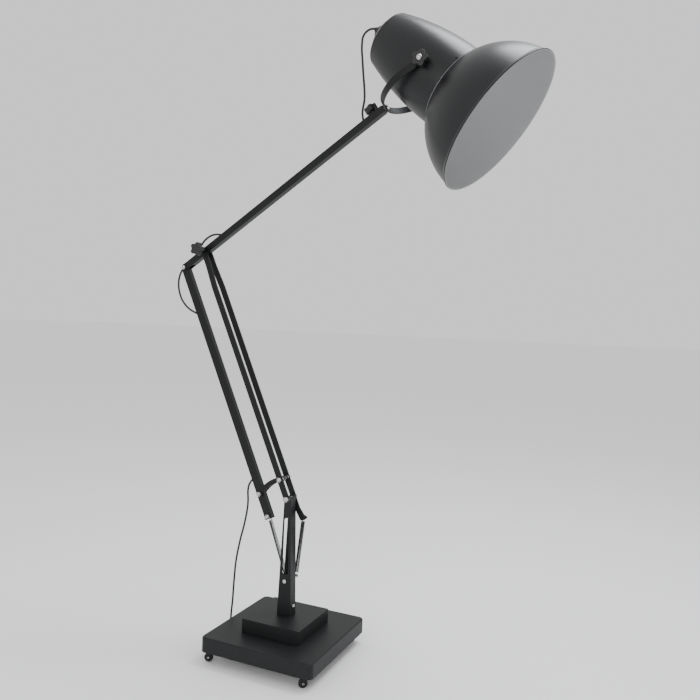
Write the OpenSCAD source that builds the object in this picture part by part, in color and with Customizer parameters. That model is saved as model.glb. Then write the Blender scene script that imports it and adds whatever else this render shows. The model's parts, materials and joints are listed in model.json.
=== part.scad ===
// Floor lamp with an adjustable sprung arm on a weighted, castored base.
// +Z is up and +X points to the lamp head. The origin is on the floor under the base's centre.
// Everything in the plane of the arm is placed from the shoulder pivot, the elbow pivot and the
// shade's pivot, so changing a length or an angle moves all that hangs on it.

/* [Base] */
// Side of the square base cover
base_w = 350; // [300:5:420]
// Height of the base cover
base_h = 42; // [36:1:60]
// Gap from the floor to the cover's lower edge
base_lift = 33; // [30:1:40]
// Corner radius of the cover in plan
base_r = 16; // [8:1:30]
// Rounding of the cover's top edge
base_edge_r = 5; // [2:0.5:6]
// Sheet thickness of the cover and the plinth
sheet = 2; // [1:0.5:3]
// Thickness of the ballast plate
ballast_t = 20; // [12:1:24]
// Side of the square plinth
plinth_w = 185; // [140:5:230]
// Height of the plinth
plinth_h = 39; // [20:1:60]
// Distance of each castor from the base's edges
castor_inset = 25; // [24:1:50]
// Diameter of a castor wheel
wheel_d = 25; // [20:1:26]
// Width of a castor wheel
wheel_w = 10; // [8:1:14]
// Trail of a castor
castor_trail = 9; // [8:0.5:10]

/* [Mast] */
// Height of the shoulder pivot above the floor
pivot_z = 454; // [400:2:520]
// Width of the mast at its foot
mast_foot_w = 45; // [38:1:56]
// Width of the mast at the shoulder pivot
mast_top_w = 21; // [20:0.5:26]
// Width of the mast across its side walls
mast_y = 30; // [29:1:34]
// Wall of the mast's channel
mast_wall = 2; // [1.5:0.5:3]

/* [Lower arm] */
// Length of the lower arm between its pivots
main_len = 783; // [650:1:900]
// Lean of the lower arm back from upright
lean = 24.1; // [10:0.1:35]
// Width of the flat bars
bar_w = 17.5; // [16:0.5:22]
// Thickness of the flat bars
bar_t = 5; // [4:0.5:5]
// Distance of the crank's pivot above the shoulder pivot
crank_up = 59; // [45:1:80]
// Depth of the push rod's tube in the arm's plane
rod_w = 25; // [20:1:28]
// Width of the push rod across the lamp
rod_t = 15; // [13:1:15]

/* [Upper arm] */
// Length from the elbow to the head end of the tube
arm_len = 676; // [560:1:800]
// Angle of the upper arm above level
arm_angle = 33.9; // [20:0.1:45]
// Outer size of the square tube
tube = 20; // [19:0.5:20]
// Length of the tail behind the elbow
tail_len = 89; // [70:1:110]
// Drop of the tube's axis below the elbow pivot
arm_drop = 3.8; // [0:0.1:3.9]

/* [Yoke] */
// Centreline radius of the yoke's round end
yoke_r = 114; // [113:0.5:130]
// Length of the yoke's straight legs
yoke_leg = 42; // [36:1:60]
// Angle of the yoke above level
yoke_angle = 28.5; // [20:0.5:40]
// Width of the yoke's strap
yoke_w = 18; // [14:1:22]
// Thickness of the yoke's strap
yoke_t = 4; // [3:0.5:4]

/* [Shade] */
// Radius of the shade's mouth under its rim
mouth_r = 198.4; // [180:0.5:215]
// Angle of the shade's axis below level
shade_angle = 38.5; // [20:0.5:60]
// Distance from the mouth to the pivot
shade_pivot = 224; // [222:1:240]
// Sheet thickness of the shade
shade_wall = 1.2; // [0.8:0.1:2]
// Diameter of the star knobs
knob_d = 42; // [34:1:46]

/* [Springs] */
// Outer diameter of the coil springs
spring_d = 12; // [8:0.5:12]

/* [Cord] */
// Diameter of the cord
cord_d = 6; // [5:0.5:6]

/* [Hidden] */
$fn = 64;

steel = [0.62, 0.62, 0.64];
black = [0.07, 0.07, 0.075];
rubber = [0.04, 0.04, 0.04];

fit = 0.05;          // radial clearance of a turning pin
gap = 0.3;           // side clearance between moving faces
bolt_r = 4;          // M8 bolts and pins
shoulder_r = 5;      // M10 shoulder bolt and yoke stud
anchor_r = 3.5;      // spring anchor pins
nut_r = 7.5;         // across-corners radius of the nuts
nut_h = 6;
head_h = 5;

base_top = base_lift + base_h;
plinth_top = base_top + plinth_h;
ballast_w = base_w - 20;
ballast_top = base_top - sheet;
ballast_z = ballast_top - ballast_t;
castor_at = base_w / 2 - castor_inset;
castor_spots = [[-1, -1], [1, -1], [-1, 1], [1, 1]] * castor_at;
castor_turns = [200, 215, 150, 160];
fork_top = 31;
fork_t = 3;
cheek = 2;
rivet_h = 2;

// The joint places in the arm's plane, as [x, z]
function slope(a) = [cos(a), sin(a)];
bar_dir = slope(90 + lean);
arm_dir = slope(arm_angle);
arm_up = slope(arm_angle + 90);
shoulder = [0, pivot_z];
elbow = shoulder + main_len * bar_dir;
crank_at = shoulder + crank_up * bar_dir;
tail_shift = -tail_len * arm_dir - arm_drop * arm_up;
tail_at = elbow + tail_shift;
rod_at = crank_at + tail_shift;
rod_len = main_len - crank_up;
arm_foot = elbow - arm_drop * arm_up;
flange_t = 3;
plug_len = 40;
swivel_at = arm_foot + (arm_len + flange_t) * arm_dir;
yoke_reach = yoke_r + yoke_leg;
apex = swivel_at + (gap + yoke_t) * arm_dir;
shade_at = apex + yoke_reach * slope(yoke_angle);

// The springs' ends
rod_pin_down = 70;
rod_tail = 78;
spring_lug = [5.5, -66];
spring_y = mast_y / 2 + 12.5;
left_top = rod_at - rod_pin_down * bar_dir;
left_foot = [0, 214];
bar_side = slope(lean);
right_top = shoulder + spring_lug[0] * bar_side + spring_lug[1] * bar_dir;
right_foot = [13, 218];
spring_end = 13;
left_eye = 16;

// Places across the lamp, as distances from its middle plane
bar_low = mast_y / 2 + 3;
bar_high = tube / 2 + 1;
joggle = [120, 50];
strap_t = 4;
strap_low = rod_t / 2 + 1;
knob_h = 16;

// The shade's outline, as distances back from the mouth
bell_arc = [-16.6, -8.6, 207.7];
house_arc = [170.9, -631.7, 741];
neck_at = 154;
house_end = 388;
cap_at = 425;
cap_end = 437;
gland_end = 450;
cap_r = 19.5;
function arc_r(arc, s, inset = 0) =
    arc[1] + sqrt(pow(arc[2] - inset, 2) - pow(s - arc[0], 2)) + (mouth_r - 198.4);
function run(a, b, n) = [for (i = [0:n]) a + (b - a) * i / n];

// The cords' routes, chosen by hand; each list runs from the head end down
head_route = [
    [209, 0, 1761], [196, 0, 1765], [178, 0, 1754], [171, 0, 1736], [171, 0, 1710],
    [175, 0, 1688], [180, 0, 1642], [185, 0, 1601], [186, 0, 1574], [182, 0, 1549],
    [182, 0, 1534], [185, 0, 1522],
];
elbow_route = [
    [-266, 0, 1215], [-274, 0, 1222], [-292, 0, 1223], [-314, 0, 1206], [-335, 0, 1180],
    [-345, 0, 1163],
];
side_route = [
    [-406, 0, 1117], [-412, 0, 1112], [-418, 0, 1098], [-420, 0, 1078], [-417, 0, 1056],
    [-409, 0, 1036], [-396, 0, 1014], [-376, 0, 995], [-360, 0, 986],
    [-347, 0, 979],
];
lead_route = [
    [-129, 0, 490], [-141, 0, 487], [-146, 0, 473], [-143, 0, 450], [-142, 0, 428],
    [-144, 0, 398], [-153, 0, 351], [-165, 0, 304], [-177, 0, 241], [-182, 0, 179],
    [-185, 0, 117], [-190, 0, 60], [-196, 8, 20], [-201, 34, 4], [-202, 80, 3],
    [-202, 130, 3], [-196, 168, 3], [-174, 191, 3], [-140, 197, 3], [-105, 196, 3],
    [-66, 196, 3],
];
tail_route = [[-11, 250, 9], [-9, 263, 8], [-1, 273, 6], [12, 277, 6], [26, 278, 7]];
coil_at = [-50, 235];
coil_r = 33;
plug_size = [36, 35, 14];
plug_pin_r = 2;
plug_pin_len = 19;
plug_pin_gap = 19;
plug_shank_r = 1.5;

// ---- placing helpers ----

module along_y(p, from, to, r, fn = $fn) {
    translate([p[0], from, p[1]])
        rotate([-90, 0, 0])
            cylinder(r = r, h = to - from, $fn = fn);
}

// A hexagon nut or head between two distances across the lamp
module hex_y(p, from, to, r = nut_r) {
    translate([p[0], from, p[1]])
        rotate([-90, 0, 0])
            cylinder(r = r, h = to - from, $fn = 6);
}

// A domed cap nut: side -1 stands on the near side and +1 on the far side
module acorn(p, at, side, r = nut_r) {
    translate([p[0], side * at, p[1]])
        rotate([-90 * side, 0, 0]) {
            cylinder(r = r, h = nut_h, $fn = 6);
            translate([0, 0, nut_h - 1])
                intersection() {
                    sphere(r = r * 0.8);
                    cylinder(r = r, h = r);
                }
        }
}

// Local +Z runs from the point at that angle above +X, and +Y stays across the lamp
module aim(p, a) {
    translate([p[0], 0, p[1]])
        rotate([0, 90 - a, 0])
            children();
}

module at_bars() { aim(shoulder, 90 + lean) children(); }
module at_rod() { aim(rod_at, 90 + lean) children(); }
module at_arm() { aim(arm_foot, arm_angle) children(); }
module at_yoke() { aim(shade_at, yoke_angle) children(); }
module at_shade() { aim(shade_at, 180 - shade_angle) translate([0, 0, -shade_pivot]) children(); }

module rounded_plan(w, r, h) {
    linear_extrude(h)
        union() {
            square([w - 2 * r, w], center = true);
            square([w, w - 2 * r], center = true);
            for (sx = [-1, 1], sy = [-1, 1])
                translate([sx, sy] * (w / 2 - r))
                    circle(r = r);
        }
}

// ---- swept tube ----

function unit(v) = v / norm(v);
function curve(p, i, t) =
    let (n = len(p), a = p[max(i - 1, 0)], b = p[i], c = p[i + 1], d = p[min(i + 2, n - 1)])
    0.5 * (2 * b + (c - a) * t + (2 * a - 5 * b + 4 * c - d) * t * t
        + (3 * b - a - 3 * c + d) * t * t * t);
function smooth(p, steps) = [
    for (i = [0:len(p) - 2], k = [0:steps - 1]) curve(p, i, k / steps),
    p[len(p) - 1],
];
function heading(q, i) = unit(q[min(i + 1, len(q) - 1)] - q[max(i - 1, 0)]);
function frames(q, i, side) =
    let (h = heading(q, i), s = unit(side - (side * h) * h))
    i == len(q) - 1 ? [[h, s]] : concat([[h, s]], frames(q, i + 1, s));

module tube_along(route, steps, d, side = [0, 1, 0]) {
    sides = 8;
    q = smooth(route, steps);
    f = frames(q, 0, side);
    rings = [
        for (i = [0:len(q) - 1], k = [0:sides - 1])
            let (a = 360 * k / sides, s = f[i][1], up = cross(f[i][0], s))
            q[i] + d / 2 * (cos(a) * s + sin(a) * up),
    ];
    last = (len(q) - 1) * sides;
    quads = [
        for (i = [0:len(q) - 2], k = [0:sides - 1])
            let (a = i * sides + k, b = i * sides + (k + 1) % sides)
            [a, a + sides, b + sides, b],
    ];
    ends = [[for (k = [0:sides - 1]) k], [for (k = [0:sides - 1]) last + sides - 1 - k]];
    polyhedron(rings, concat(quads, ends));
}

// ---- base ----

module base_cover() {
    w = base_w;
    e = base_edge_r;
    inner = base_w - 2 * sheet;
    color(black)
    difference() {
        union() {
            translate([0, 0, base_lift])
                rounded_plan(w, base_r, base_h - e);
            translate([0, 0, base_top - e]) {
                rounded_plan(w - 2 * e, base_r - e, e);
                for (turn = [0:90:270])
                    rotate(turn) {
                        translate([w / 2 - base_r, w / 2 - base_r, 0])
                            rotate_extrude(angle = 90)
                                top_edge(base_r - e, e);
                        translate([w / 2 - e, base_r - w / 2, 0])
                            rotate([90, 0, 180])
                                mirror([1, 0, 0])
                                    linear_extrude(w - 2 * base_r)
                                        top_edge(0, e);
                    }
            }
        }
        translate([0, 0, base_lift - 1])
            rounded_plan(inner, base_r - sheet, base_h - sheet + 1);
        base_bolt_holes();
    }
}

// A quarter round of radius e beside a flat of width flat
module top_edge(flat, e) {
    intersection() {
        translate([flat, 0])
            circle(r = e);
        translate([flat, 0])
            square(e);
    }
    if (flat > 0)
        square([flat, e]);
}

base_bolt_x = 8;
module base_bolt_holes() {
    for (side = [-1, 1])
        translate([side * base_bolt_x, 0, ballast_z - 1])
            cylinder(r = bolt_r + gap, h = plinth_top - ballast_z + 2);
}

module base_bolts() {
    color(steel)
    for (side = [-1, 1])
        translate([side * base_bolt_x, 0, ballast_z]) {
            translate([0, 0, -head_h])
                cylinder(r = nut_r - 0.5, h = head_h, $fn = 6);
            cylinder(r = bolt_r, h = screw_z - 4 - ballast_z);
        }
}

module ballast_plate() {
    color([0.2, 0.2, 0.2])
    difference() {
        translate([0, 0, ballast_z])
            rounded_plan(ballast_w, base_r - sheet, ballast_t);
        base_bolt_holes();
        for (p = castor_spots)
            translate([p[0], p[1], ballast_z - 1])
                cylinder(r = bolt_r, h = 13);
    }
}

module plinth() {
    color(black)
    difference() {
        translate([0, 0, base_top])
            rounded_plan(plinth_w, 3, plinth_h);
        translate([0, 0, base_top - 1])
            rounded_plan(plinth_w - 2 * sheet, 1, plinth_h - sheet + 1);
        base_bolt_holes();
    }
}

module caster_stems() {
    color(steel)
    for (p = castor_spots)
        translate([p[0], p[1], 0]) {
            translate([0, 0, ballast_z])
                cylinder(r = bolt_r, h = 12);
            translate([0, 0, ballast_z - 3])
                cylinder(r = 16, h = 3);
            translate([0, 0, fork_top + gap])
                cylinder(r1 = 8, r2 = 12, h = ballast_z - 3 - fork_top - gap);
            translate([0, 0, fork_top - fork_t - rivet_h])
                cylinder(r = bolt_r, h = fork_t + rivet_h + 2);
            translate([0, 0, fork_top - fork_t - gap - rivet_h])
                cylinder(r = wheel_w / 2, h = rivet_h);
        }
}

module at_castor(i) {
    translate([castor_spots[i][0], castor_spots[i][1], 0])
        rotate(castor_turns[i])
            children();
}

// Local +X is the trail, and the wheel turns about local Y
module fork(i) {
    inside = wheel_w / 2 + gap;
    axle_z = wheel_d / 2;
    color(black)
    at_castor(i)
    difference() {
        union() {
            translate([0, 0, fork_top - fork_t])
                cylinder(r = 10, h = fork_t);
            translate([-4, -inside - cheek, fork_top - fork_t])
                cube([castor_trail + 10, 2 * (inside + cheek), fork_t]);
            for (side = [-1, 1])
                translate([0, side * (inside + cheek / 2) + cheek / 2, 0])
                    rotate([90, 0, 0])
                        linear_extrude(cheek) {
                            polygon([
                                [-4, fork_top - fork_t], [castor_trail + 6, fork_top - fork_t],
                                [castor_trail + 5, axle_z], [castor_trail - 5, axle_z],
                            ]);
                            translate([castor_trail, axle_z])
                                circle(r = 5);
                        }
            along_y([castor_trail, axle_z], -inside - cheek - 1.5, inside + cheek + 1.5, 2);
        }
        translate([0, 0, fork_top - fork_t - 1])
            cylinder(r = bolt_r + fit, h = fork_t + 2);
    }
}

module wheel(i) {
    axle_z = wheel_d / 2;
    color(rubber)
    at_castor(i)
    difference() {
        along_y([castor_trail, axle_z], -wheel_w / 2, wheel_w / 2, wheel_d / 2);
        along_y([castor_trail, axle_z], -wheel_w, wheel_w, 2 + fit);
        for (side = [-1, 1])
            difference() {
                along_y([castor_trail, axle_z], side > 0 ? wheel_w / 2 - 1 : -wheel_w,
                    side > 0 ? wheel_w : 1 - wheel_w / 2, wheel_d / 2 - 3);
                along_y([castor_trail, axle_z], -2 * wheel_w, 2 * wheel_w, 4);
            }
    }
}

// ---- mast ----

foot_h = 50;
screw_z = plinth_top + 26;
function mast_half(z) =
    let (t = (z - plinth_top) / (pivot_z - plinth_top))
    (mast_foot_w * (1 - t) + mast_top_w * t) / 2;
slot_top = 390;
slot_foot = 242;
slot_top_r = 8.5;
slot_foot_r = 9.5;

module mast() {
    top_in = mast_half(pivot_z) - mast_wall;
    foot_in = mast_half(plinth_top) - mast_wall;
    wide = mast_foot_w;
    half_y = mast_y / 2;
    in_y = half_y - mast_wall;
    color(black)
    difference() {
        union() {
            translate([0, half_y, 0])
                rotate([90, 0, 0])
                    linear_extrude(mast_y)
                        polygon([
                            [-mast_half(plinth_top), plinth_top], [mast_half(plinth_top), plinth_top],
                            [mast_half(pivot_z), pivot_z], [-mast_half(pivot_z), pivot_z],
                        ]);
            along_y(shoulder, -half_y, half_y, mast_top_w / 2);
        }
        translate([0, in_y, 0])
            rotate([90, 0, 0])
                linear_extrude(2 * in_y)
                    polygon([
                        [-wide, plinth_top - 1], [foot_in, plinth_top - 1], [top_in, pivot_z],
                        [top_in, pivot_z + wide], [-wide, pivot_z + wide],
                    ]);
        // The slot is in the near wall only
        rotate([90, 0, 0])
            linear_extrude(mast_y) {
                polygon([
                    [-slot_foot_r, slot_foot], [slot_foot_r, slot_foot],
                    [slot_top_r, slot_top], [-slot_top_r, slot_top],
                ]);
                translate([0, slot_foot])
                    circle(r = slot_foot_r);
                translate([0, slot_top])
                    circle(r = slot_top_r);
            }
        along_y(shoulder, -mast_y, mast_y, shoulder_r);
        along_y(left_foot, -mast_y, mast_y, anchor_r);
        along_y(right_foot, in_y - 0.5, mast_y, anchor_r);
        translate([0, 0, screw_z])
            rotate([0, 90, 0])
                cylinder(r = 3, h = mast_foot_w);
    }
}

module mast_foot() {
    half_x = mast_half(plinth_top + foot_h) - mast_wall - 0.5;
    in_y = mast_y / 2 - mast_wall;
    color(black)
    difference() {
        translate([-half_x, -in_y, plinth_top])
            cube([2 * half_x, 2 * in_y, foot_h]);
        for (side = [-1, 1])
            translate([side * base_bolt_x, 0, plinth_top - 1])
                cylinder(r = bolt_r, h = foot_h - 13);
        translate([half_x - 7, 0, screw_z])
            rotate([0, 90, 0])
                cylinder(r = 3, h = 20);
    }
}

module mast_fasteners() {
    half_y = mast_y / 2;
    web_x = mast_half(screw_z);
    foot_x = mast_half(plinth_top + foot_h) - mast_wall - 0.5;
    color(steel) {
        translate([foot_x - 7, 0, screw_z])
            rotate([0, 90, 0]) {
                cylinder(r = 3, h = web_x - foot_x + 8);
                translate([0, 0, web_x - foot_x + 7.6])
                    intersection() {
                        cylinder(r = 6, h = 4.5);
                        translate([0, 0, -3])
                            sphere(r = 7.5);
                    }
            }
        along_y(left_foot, -half_y - 3, half_y + 3, anchor_r);
        along_y(left_foot, -half_y - 3, -half_y, 5.5);
        along_y(left_foot, half_y, half_y + 2.5, 5.5);
        along_y(right_foot, half_y - mast_wall, spring_y + 4, anchor_r);
        along_y(right_foot, half_y, half_y + 3, 5);
        along_y(right_foot, spring_y + 4, spring_y + 6, 5);
    }
}

module shoulder_bolt() {
    out = bar_low + bar_t + gap;
    half_y = mast_y / 2;
    color(steel) {
        along_y(shoulder, -out - 3, out + 3, shoulder_r);
        hex_y(shoulder, out, out + head_h, 8.5);
        acorn(shoulder, out, -1, 8.5);
        for (side = [-1, 1])
            difference() {
                along_y(shoulder, side > 0 ? half_y : gap - bar_low,
                    side > 0 ? bar_low - gap : -half_y, 9);
                along_y(shoulder, -mast_y, mast_y, shoulder_r + fit);
            }
    }
}

// ---- lower arm ----

// A flat bar with a joggle near its top; side -1 is the near one
module bar(side) {
    far = side > 0;
    half = bar_w / 2;
    color(black)
    at_bars()
    difference() {
        union() {
            translate([-half, 0, 0])
                rotate([90, 0, 90])
                    linear_extrude(bar_w)
                        polygon([
                            [side * bar_low, 0], [side * (bar_low + bar_t), 0],
                            [side * (bar_low + bar_t), main_len - joggle[0]],
                            [side * (bar_high + bar_t), main_len - joggle[1]],
                            [side * (bar_high + bar_t), main_len],
                            [side * bar_high, main_len],
                            [side * bar_high, main_len - joggle[1]],
                            [side * bar_low, main_len - joggle[0]],
                        ]);
            between(side, bar_low, bar_low + bar_t)
                circle(r = half);
            between(side, bar_high, bar_high + bar_t)
                translate([0, main_len])
                    circle(r = half);
            if (far)
                between(side, bar_low, bar_low + bar_t) {
                    polygon([
                        [1 - half, 0], [half - 1, 0], [half - 1, spring_lug[1] * 0.55],
                        [spring_lug[0] + half, spring_lug[1] + 2], [spring_lug[0] + half + 5, spring_lug[1] + 2],
                        [spring_lug[0] + half + 5, spring_lug[1] - 6], [spring_lug[0] + half, spring_lug[1] - 6],
                        [spring_lug[0] + half - 4, spring_lug[1] - half + 1],
                        [spring_lug[0] - half + 4, spring_lug[1] - half + 1],
                        [spring_lug[0] - half, spring_lug[1] - 3], [1 - half, spring_lug[1] * 0.55],
                    ]);
                }
        }
        hole_y([0, 0], shoulder_r + fit);
        hole_y([0, crank_up], bolt_r);
        hole_y([0, main_len], bolt_r);
    }
    if (far)
        color(steel) {
            along_y(right_top, bar_low + bar_t / 2, spring_y + 4, anchor_r);
            along_y(right_top, spring_y + 4, spring_y + 6, 5);
        }
}

// A flat outline in the arm's plane, standing between two distances across the lamp
module between(side, from, to) {
    translate([0, side > 0 ? to : -from, 0])
        rotate([90, 0, 0])
            linear_extrude(to - from)
                children();
}

module hole_y(p, r, reach = 60) {
    translate([p[0], -reach, p[1]])
        rotate([-90, 0, 0])
            cylinder(r = r, h = 2 * reach);
}

module near_bar() { bar(-1); }
module far_bar() { bar(1); }

module bar_spacers() {
    color(steel)
    for (side = [-1, 1])
        difference() {
            along_y(crank_at, side > 0 ? strap_low + strap_t + gap : -bar_low,
                side > 0 ? bar_low : -strap_low - strap_t - gap, 8);
            along_y(crank_at, -40, 40, bolt_r);
        }
}

module crank_bolts() {
    inner = strap_low - gap;
    out = bar_low + bar_t;
    color(steel) {
        along_y(crank_at, -out - 3, -inner + 4, bolt_r);
        hex_y(crank_at, -inner, -inner + 4);
        acorn(crank_at, out, -1);
        along_y(crank_at, inner - 4, out + 3, bolt_r);
        hex_y(crank_at, inner - 4, inner);
        acorn(crank_at, out, 1);
    }
}

knob_in = 37;
module elbow_bolt() {
    out = bar_high + bar_t;
    color(steel) {
        along_y(elbow, -knob_in - 5, out + 3, bolt_r);
        hex_y(elbow, out, out + head_h);
    }
}

// ---- crank and push rod ----

strap_w = 13.5;
strap_rise = 9;
module crank_straps() {
    chord = crank_at - rod_at;
    half = norm(chord) / 2;
    tilt = atan2(chord[1], chord[0]);
    round_r = (half * half + strap_rise * strap_rise) / (2 * strap_rise);
    sweep = asin(half / round_r);
    mid = (crank_at + rod_at) / 2;
    steps = 10;
    color(black)
    for (side = [-1, 1])
        difference() {
            between(side, strap_low, strap_low + strap_t)
                union() {
                    translate(mid)
                        rotate(tilt)
                            translate([0, strap_rise - round_r])
                                polygon([
                                    for (i = [0:steps])
                                        let (a = 90 + sweep * (1 - 2 * i / steps))
                                        (round_r + strap_w / 2) * slope(a),
                                    for (i = [0:steps])
                                        let (a = 90 - sweep * (1 - 2 * i / steps))
                                        (round_r - strap_w / 2) * slope(a),
                                ]);
                    for (p = [crank_at, rod_at])
                        translate(p)
                            circle(r = strap_w / 2 + 2);
                }
            along_y(crank_at, -40, 40, bolt_r + fit);
            along_y(rod_at, -40, 40, bolt_r);
        }
}

module crank_pin() {
    out = strap_low + strap_t;
    color(steel) {
        along_y(rod_at, -out - 3, out + 3, bolt_r);
        acorn(rod_at, out, -1);
        hex_y(rod_at, out, out + head_h);
    }
}

// The cord's grommets: each port on the rod is a place and the angle that it faces
grommet_r = 5;
grommet_h = 2.2;
top_port_angle = 175;
port_up = [581, 45];
rod_ports = concat(
    [[tail_at + rod_w / 2 * slope(top_port_angle), top_port_angle]],
    [for (up = port_up) [rod_at + up * bar_dir - rod_w / 2 * bar_side, 180 + lean]]);
module push_rod() {
    color(black)
    difference() {
        at_rod()
        difference() {
            rod_outline();
            translate([-rod_w / 2 + 2, -rod_t / 2 + 2, -rod_tail - 1])
                cube([rod_w - 4, rod_t - 4, rod_len + rod_tail - 13]);
            hole_y([0, 0], bolt_r + fit);
            hole_y([0, rod_len], bolt_r + gap);
            hole_y([0, -rod_pin_down], bolt_r);
        }
        for (port = rod_ports)
            aim(port[0], port[1])
                cylinder(r = grommet_r - 1.5, h = 12, center = true);
    }
}

module rod_outline() {
    translate([-rod_w / 2, -rod_t / 2, -rod_tail])
        cube([rod_w, rod_t, rod_len + rod_tail]);
    translate([0, rod_t / 2, rod_len])
        rotate([90, 0, 0])
            cylinder(r = rod_w / 2, h = rod_t);
}

// A ring on a tube's face, growing outwards along +Z
module grommet() {
    difference() {
        translate([0, 0, -1])
            cylinder(r = grommet_r, h = grommet_h + 1);
        translate([0, 0, -2])
            cylinder(r = cord_d / 2 + fit, h = 8);
    }
}

module rod_grommets() {
    color(rubber)
    difference() {
        for (port = rod_ports)
            aim(port[0], port[1])
                grommet();
        at_rod()
            rod_outline();
    }
}

module rod_spring_pin() {
    out = rod_t / 2;
    color(steel) {
        along_y(left_top, -out - 3, out + 3, bolt_r);
        acorn(left_top, out, -1);
        hex_y(left_top, out, out + head_h);
    }
}

// ---- upper arm ----

tail_end_r = 12;
notch = 30;
cheek_in = 8;
arm_knob_s = 648;
head_grommet = [185, 1519];
elbow_grommets = [[-266, 1215], [-345, 1163]];
// Distance along the tube of a point in the arm's plane
function along_arm(p) = (p - arm_foot) * arm_dir;
grommet_spots = [
    for (p = [head_grommet, elbow_grommets[0], elbow_grommets[1]]) along_arm(p),
];

module upper_arm() {
    half = tube / 2;
    wall = 2;
    color(black)
    at_arm()
    difference() {
        union() {
            translate([-half, -half, -tail_len])
                cube([tube, tube, arm_len + tail_len]);
            translate([0, half, -tail_len])
                rotate([90, 0, 0])
                    cylinder(r = half, h = tube);
        }
        translate([wall - half, wall - half, notch - tail_len])
            cube([tube - 2 * wall, tube - 2 * wall, arm_len + tail_len]);
        translate([-tube, -cheek_in, -tail_len - tube])
            cube([2 * tube, 2 * cheek_in, tube + notch]);
        hole_y([0, -tail_len], bolt_r);
        hole_y([-arm_drop, 0], bolt_r + fit);
        translate([-tube, 0, arm_knob_s])
            rotate([0, 90, 0])
                cylinder(r = 3 + fit, h = tube);
        for (s = grommet_spots)
            translate([-tube, 0, s])
                rotate([0, 90, 0])
                    cylinder(r = grommet_r - 1.5, h = tube);
    }
}

module arm_grommets() {
    color(rubber)
    at_arm()
    for (s = grommet_spots)
        translate([-tube / 2, 0, s])
            rotate([0, -90, 0])
                intersection() {
                    grommet();
                    cylinder(r = 2 * grommet_r, h = 2 * grommet_h);
                }
}

module tail_bolt() {
    out = tube / 2;
    color(steel) {
        along_y(tail_at, -out - 3, out + 3, bolt_r);
        acorn(tail_at, out, -1);
        hex_y(tail_at, out, out + head_h);
    }
}

module arm_end_plug() {
    fill = tube - 4;
    color(black)
    at_arm()
    difference() {
        union() {
            translate([-fill / 2, -fill / 2, arm_len - plug_len])
                cube([fill, fill, plug_len]);
            translate([-tube / 2, -tube / 2, arm_len])
                cube([tube, tube, flange_t]);
        }
        translate([0, 0, arm_len - plug_len - 1])
            cylinder(r = shoulder_r + fit, h = plug_len + flange_t + 2);
        translate([-tube, 0, arm_knob_s])
            rotate([0, 90, 0])
                cylinder(r = 3 + fit, h = tube);
    }
}

// ---- knobs ----

module star(d, h) {
    lobe = d * 0.17;
    linear_extrude(h)
        union() {
            rotate(36)
                circle(r = d * 0.38);
            for (turn = [0:72:288])
                rotate(turn)
                    translate([d / 2 - lobe, 0])
                        rotate(180)
                            circle(r = lobe);
        }
}

// A star knob on a collar, growing along +Z from its seat
module star_knob(d, h, collar) {
    difference() {
        union() {
            cylinder(r = d * 0.2, h = collar + 1);
            translate([0, 0, collar])
                star(d, h);
        }
        translate([0, 0, -1])
            cylinder(r = bolt_r + fit, h = collar + 7);
    }
}

module elbow_knob() {
    seat = bar_high + bar_t + gap;
    color(black)
    translate([elbow[0], -seat, elbow[1]])
        rotate([90, 0, 0])
            star_knob(knob_d - 2, knob_h, knob_in - seat);
}

module arm_knob() {
    seat = tube / 2 + 1;
    tip = shoulder_r + gap;
    wide = knob_d - 5;
    collar = 4.5;
    color(black)
    at_arm()
    translate([0, 0, arm_knob_s])
        rotate([0, -90, 0]) {
            translate([0, 0, tip])
                cylinder(r = 3, h = seat + 2 - tip);
            translate([0, 0, seat]) {
                cylinder(r = 7, h = collar + 1);
                translate([0, 0, collar])
                    star(wide, knob_h);
            }
        }
}

module shade_knob(side) {
    seat = yoke_r + yoke_t / 2 + gap;
    color(black)
    translate([shade_at[0], side * seat, shade_at[1]])
        rotate([-90 * side, 0, 0])
            star_knob(knob_d, 14, 3);
}
module shade_knob_near() { shade_knob(-1); }
module shade_knob_far() { shade_knob(1); }

// ---- yoke ----

module yoke() {
    ring = [yoke_r - yoke_t / 2, yoke_t];
    color(black)
    difference() {
        union() {
            at_yoke() {
                translate([-yoke_w / 2, 0, -yoke_leg])
                    rotate([90, 0, 90])
                        rotate_extrude(angle = 180, start = 180)
                            translate([ring[0], 0])
                                square([ring[1], yoke_w]);
                for (side = [-1, 1]) {
                    translate([-yoke_w / 2, side * yoke_r - yoke_t / 2, -yoke_leg])
                        cube([yoke_w, yoke_t, yoke_leg]);
                    translate([0, side * yoke_r + yoke_t / 2, 0])
                        rotate([90, 0, 0])
                            cylinder(r = yoke_w / 2, h = yoke_t);
                }
            }
            at_arm()
                translate([0, 0, arm_len + flange_t + gap])
                    cylinder(r = 11, h = yoke_t + 4);
        }
        at_yoke()
            for (side = [-1, 1])
                translate([0, side * yoke_r + 10, 0])
                    rotate([90, 0, 0])
                        cylinder(r = bolt_r + fit, h = 20);
        at_arm()
            translate([0, 0, arm_len - 10])
                cylinder(r = shoulder_r, h = 60);
    }
}

module yoke_stud() {
    seat = arm_len + flange_t + gap + yoke_t + 4;
    color(steel)
    at_arm() {
        translate([0, 0, arm_len - plug_len])
            cylinder(r = shoulder_r, h = seat - arm_len + plug_len);
        translate([0, 0, seat])
            cylinder(r = 8, h = 5, $fn = 6);
    }
}

// ---- shade ----

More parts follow.
